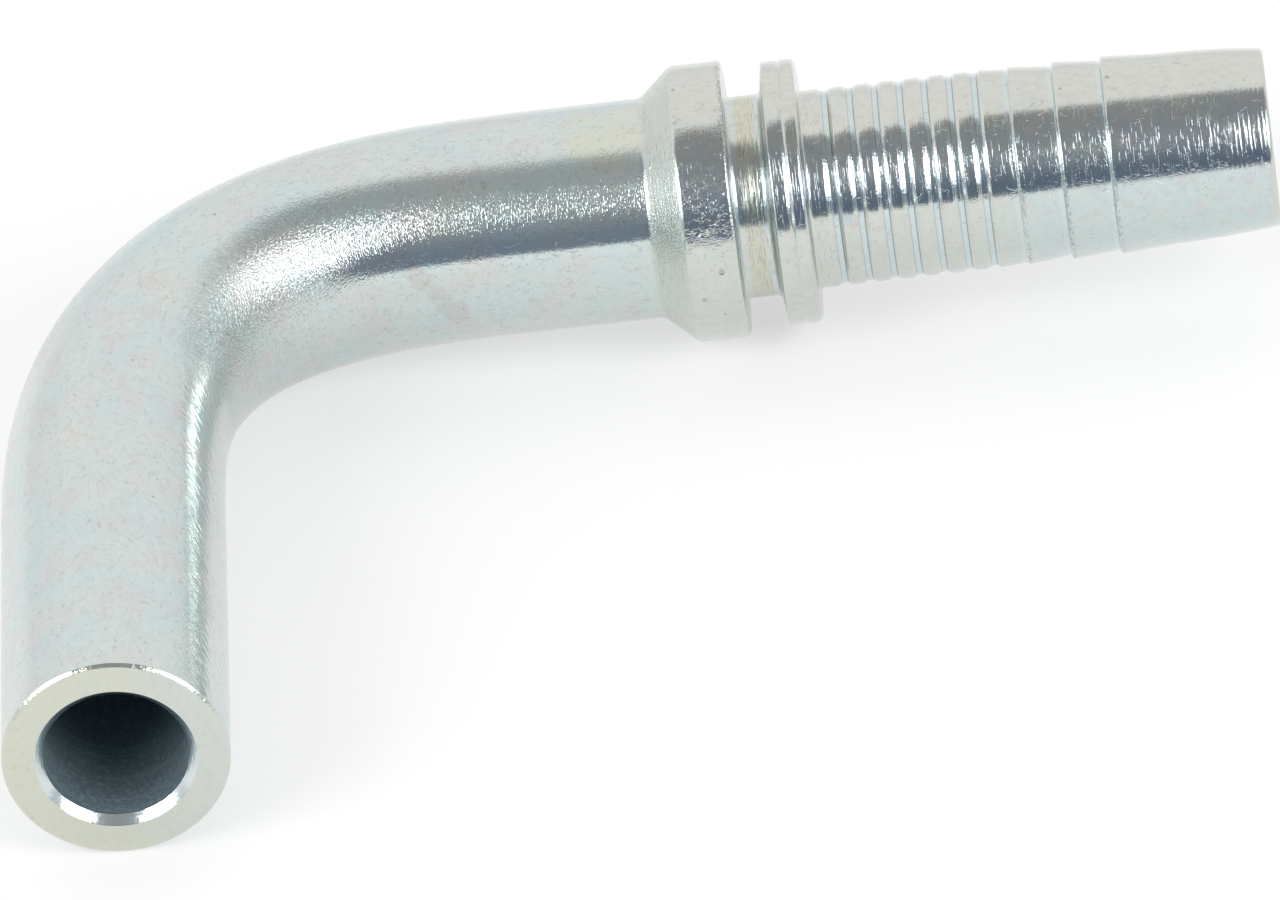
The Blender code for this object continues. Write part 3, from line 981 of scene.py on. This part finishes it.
def turned_zinc():
    """Turned collar, neck, flange and tail, zinc plated and clear passivated.

    Sparse turning marks catch the lights as thin bright arcs, close together on the neck and at the
    nose's end. The collar's plating is crinkled like foil. The colour is creamy on top and bluer lower,
    painted reflections that follow which way the surface faces.
    """
    material, shader, add = new_finish("turned_clear_passivated_zinc")
    share_up, _ = round_share(add)
    on_grooves = along_piece(add, [
        (FLANGE_END + 0.8, 0.0),
        (FLANGE_END + 0.9, 1.0),
        (LAST_GROOVE + 0.5, 1.0),
        (LAST_GROOVE + 0.6, 0.0),
    ])
    cone = along_piece(add, [
        (CONE_START - 0.2, 0.0),
        (CONE_START + 0.2, 1.0),
        (COLLAR_START - 0.1, 1.0),
        (COLLAR_START, 0.0),
    ])
    colour, side = turned_tints(add, share_up)
    colour = groove_painted_light(add, colour, on_grooves)
    colour = form_tints(add, colour, cone)
    colour = mottled(add, colour, "#A4A8A2", 0.16, 120.0)
    lines = hairlines(add, 0.8, 0.012, 0.06, 12.0)
    colour = lay_over(add, colour, linear("#8A8F8D"), lines, 0.3)
    nicks = turned_nicks(add)
    colour = lay_over(add, colour, linear("#7E8281"), nicks, 0.4)
    scratched = spots(add, [
        (94.9 + 0.14 * dot, -5.0 - 0.01 * dot, 1.65 - 0.08 * dot, 0.06)
        for dot in range(8)
    ])
    colour = lay_over(add, colour, linear("#F2F5F5"), scratched, 0.7)
    burr = burrs(add, share_up, side)
    colour = lay_over(add, colour, linear("#978B8A"), burr, 0.55)
    marks = [(-0.004, lines, None), (-0.03, nicks, None), (-0.008, burr, None)]
    height = turned_height(add, share_up, on_grooves, cone, marks)
    rough = along_piece(add, [
        (CONE_START - 0.1, 0.20),
        (CONE_START + 0.4, 0.17),
        (COLLAR_START - 0.1, 0.17),
        (COLLAR_START, 0.14),
        (COLLAR_END - 0.05, 0.14),
        (COLLAR_END, 0.20),
        (FLANGE_START - 0.4, 0.20),
        (FLANGE_START, 0.30),
        (FLANGE_START + 0.1, 0.15),
        (NOSE_END, 0.15),
    ])
    wire_finish(add, shader, colour, rough, height, 0.7)
    return material


def faced_zinc():
    """Faced and deburred ends, zinc plated: smooth and creamy, with a painted highlight on the chamfers and
    a nicked rim.
    """
    material, shader, add = new_finish("faced_clear_passivated_zinc")
    across = add("ShaderNodeSeparateXYZ", [blank_place(add)]).outputs["Y"]
    cool = add(MATH, [grain(add, 2.5, 2.5, 3.0, 9.0), 12.0, across], operation="MULTIPLY_ADD")
    colour = lay_over(add, linear("#D2D5C7"), linear("#CFD5CE"), add(MAP_RANGE, [cool, 1.0, -4.0]))
    colour = mottled(add, colour, "#B4B3AA", 0.15, 150.0)
    colour = lay_over(add, colour, linear("#B2AFA4"), hairlines(add, 1.6, 0.008, 0.06, 4.0), 0.5)
    _, radius = round_share(add)
    rim = add(MAP_RANGE, [radius, PIPE_RADIUS - 0.35, PIPE_RADIUS - 0.15])
    chamfer = add(MAP_RANGE, [radius, BORE_RADIUS + BORE_CHAMFER + 0.04, BORE_RADIUS + BORE_CHAMFER - 0.06])
    # Painted highlight: the bore's chamfer is laid paler
    colour = lay_over(add, colour, linear("#D6DEDF"), chamfer)
    height = heights_summed(add, [
        (0.008, grain(add, 0.2, 0.25, 2.0, 2.0), None),
        (0.05, grain(add, 0.5, 0.35, 3.0, 19.0), rim),
        (0.012, grain(add, 0.12, 0.5, 2.0, 27.0), chamfer),
    ])
    wire_finish(add, shader, colour, 0.20, height, 0.0)
    return material


def drilled_bore():
    """Drilled bore where little zinc gets in: dull blue-black steel with rings left by the drill."""
    material, shader, add = new_finish("drilled_dull_steel")
    mottle = add(MAP_RANGE, [grain(add, 0.20, 0.25, 4.0, 6.0), -0.02, 0.22])
    colour = lay_over(add, linear("#8EA1A9"), linear("#B0C3C9"), mottle)
    rings = add(MAP_RANGE, [grain(add, 0.22, 7.0, 1.0, 21.0), 0.06, 0.22])
    colour = lay_over(add, colour, linear("#C6D6DA"), rings, 0.35)
    height = heights_summed(add, [
        (0.012, grain(add, 0.22, 7.0, 1.0, 21.0), None),
        (0.012, grain(add, 0.25, 0.25, 3.0, 77.0), None),
    ])
    shader.inputs["Metallic"].default_value = 0.78
    wire_finish(add, shader, colour, 0.6, height, 0.0)
    return material


pipe = make_pipe([drawn_zinc(), turned_zinc(), faced_zinc(), drilled_bore()])
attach(pipe, "root")
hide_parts("pipe_stub")


# Studio

def seen_rays(add):
    """One for rays that show a background: from the camera, off gloss and through glass."""
    rays = add("ShaderNodeLightPath").outputs
    total = add(MATH, [rays["Is Camera Ray"], rays["Is Glossy Ray"]], operation="ADD")
    return add(MATH, [total, rays["Is Transmission Ray"]], operation="ADD", use_clamp=True)


def make_floor():
    """White table that keeps the piece's soft shadow and looks white in the picture."""
    half = 0.45
    corners = [(-half, -half, 0.0), (half, -half, 0.0), (half, half, 0.0), (-half, half, 0.0)]
    data = bpy.data.meshes.new("table")
    data.from_pydata(corners, [], [(0, 1, 2, 3)])
    floor = bpy.data.objects.new("table", data)
    bpy.context.collection.objects.link(floor)
    material = bpy.data.materials.new("white_matt_table")
    material.use_nodes = True
    shader = material.node_tree.nodes["Principled BSDF"]
    add = partial(add_node, material.node_tree)
    shader.inputs["Base Color"].default_value = linear("#B6B6B5")
    shader.inputs["Roughness"].default_value = 0.9
    shader.inputs["Specular IOR Level"].default_value = 0.0
    shader.inputs["Emission Color"].default_value = (1.0, 1.0, 1.0, 1.0)
    glow = add(MATH, [seen_rays(add), 0.52], operation="MULTIPLY")
    material.node_tree.links.new(glow.outputs[0], shader.inputs["Emission Strength"])
    floor.data.materials.append(material)


def make_world():
    """White backdrop behind and above, and the unlit room that the camera stands in."""
    world = bpy.data.worlds.new("studio_room")
    bpy.context.scene.world = world
    world.use_nodes = True
    world.node_tree.nodes.clear()
    add = partial(add_node, world.node_tree)
    direction = add("ShaderNodeTexCoord").outputs["Generated"]
    z = add("ShaderNodeSeparateXYZ", [direction]).outputs["Z"]
    turn = math.radians(14.0)
    to_camera_side = (math.sin(turn), -math.cos(turn), 0.0)
    forward = add(VECTOR_MATH, [direction, to_camera_side], operation="DOT_PRODUCT").outputs["Value"]
    side_walls = add(
        MATH, [add(MAP_RANGE, [z, 0.35, 0.55]), add(MAP_RANGE, [z, 0.97, 0.85])], operation="MULTIPLY"
    )
    reach = add(MATH, [side_walls, 0.15, forward], operation="MULTIPLY_ADD")
    in_front = add(MAP_RANGE, [reach, -0.12, 0.34], interpolation_type="SMOOTHSTEP")
    above_table = add(MAP_RANGE, [z, -0.02, 0.015], interpolation_type="SMOOTHSTEP")
    over_piece = add(MAP_RANGE, [z, 0.35, 0.70], interpolation_type="SMOOTHSTEP")
    ceiling = add(MAP_RANGE, [forward, -0.20, -0.07], interpolation_type="SMOOTHSTEP")
    ceiling = add(MATH, [ceiling, over_piece], operation="MULTIPLY")
    unlit = add(MATH, [in_front, above_table], operation="MULTIPLY")
    unlit = add(MATH, [unlit, ceiling], operation="MAXIMUM")
    not_camera = add(MATH, [1.0, add("ShaderNodeLightPath").outputs["Is Camera Ray"]], operation="SUBTRACT")
    unlit = add(MATH, [unlit, not_camera], operation="MULTIPLY")
    level = add(VECTOR_MATH, [direction, (1.0, 1.0, 0.0)], operation="MULTIPLY")
    level = add(VECTOR_MATH, [level], operation="NORMALIZE")
    dark_turn = 0.15
    to_dark_middle = (math.sin(dark_turn), -math.cos(dark_turn), 0.0)
    ahead = add(VECTOR_MATH, [level, to_dark_middle], operation="DOT_PRODUCT").outputs["Value"]
    dark_middle = add(MAP_RANGE, [ahead, 0.75, 0.92])
    low_side = (0.52, 0.56, 0.59, 1.0)
    low_middle = (0.15, 0.19, 0.26, 1.0)
    high = (0.34, 0.355, 0.365, 1.0)
    backdrop = (1.0, 1.0, 1.0, 1.0)
    backdrop_foot = (0.88, 0.89, 0.91, 1.0)
    low = lay_over(add, low_side, low_middle, dark_middle)
    room = lay_over(add, low, high, add(MAP_RANGE, [z, 0.25, 0.70]))
    near_table = add(MATH, [add(MAP_RANGE, [z, 0.40, 0.0]), not_camera], operation="MULTIPLY")
    walls = lay_over(add, backdrop, backdrop_foot, near_table)
    colour = lay_over(add, walls, room, unlit)
    background = add("ShaderNodeBackground", {"Color": colour, "Strength": 1.0})
    add("ShaderNodeOutputWorld", {"Surface": background})


def make_softbox(name, azimuth, elevation, distance, width, height, radiance):
    """Rectangular light that faces the piece. Azimuth 0 is the camera's side, towards -Y."""
    turn, lift = math.radians(azimuth), math.radians(elevation)
    away = Vector((math.sin(turn) * math.cos(lift), -math.cos(turn) * math.cos(lift), math.sin(lift)))
    light = bpy.data.lights.new(name, "AREA")
    light.shape = "RECTANGLE"
    light.size, light.size_y = width, height
    light.energy = radiance * math.pi * width * height
    lamp = bpy.data.objects.new(name, light)
    lamp.location = away * distance
    lamp.rotation_mode = "QUATERNION"
    lamp.rotation_quaternion = away.to_track_quat("Z", "Y")
    lamp.visible_camera = False
    bpy.context.collection.objects.link(lamp)


def make_camera():
    """Camera solved from the photograph, given in the frame of the bend's two axes, in millimetres."""
    focal_px = 17050.2
    frame_width_px = 1280
    station = Vector((63.656, -776.168, 507.293))
    ahead = Vector((-0.03891603, 0.82867615, -0.55837387))
    right = Vector((0.99274615, -0.03155178, -0.11601538))
    back = -ahead.normalized()
    up = back.cross(right).normalized()
    right = up.cross(back).normalized()
    laid = Matrix.Translation(CORNER) @ Matrix.Rotation(-REST_ROLL, 4, "Y")
    turned = Matrix((right, up, back)).transposed().to_4x4()
    data = bpy.data.cameras.new("camera")
    data.sensor_width = 36.0
    data.lens = focal_px / frame_width_px * data.sensor_width
    data.clip_start = 0.05
    data.clip_end = 20.0
    camera = bpy.data.objects.new("camera", data)
    camera.matrix_world = laid @ Matrix.Translation(station * MM) @ turned
    bpy.context.collection.objects.link(camera)
    bpy.context.scene.camera = camera


make_floor()
make_world()
make_softbox("softbox_left", -54.0, 32.0, 0.75, 0.48, 0.38, 4.6)
make_softbox("softbox_right", 54.5, 32.0, 0.75, 0.46, 0.38, 5.1)
make_camera()
bpy.context.scene.view_settings.view_transform = "Standard"
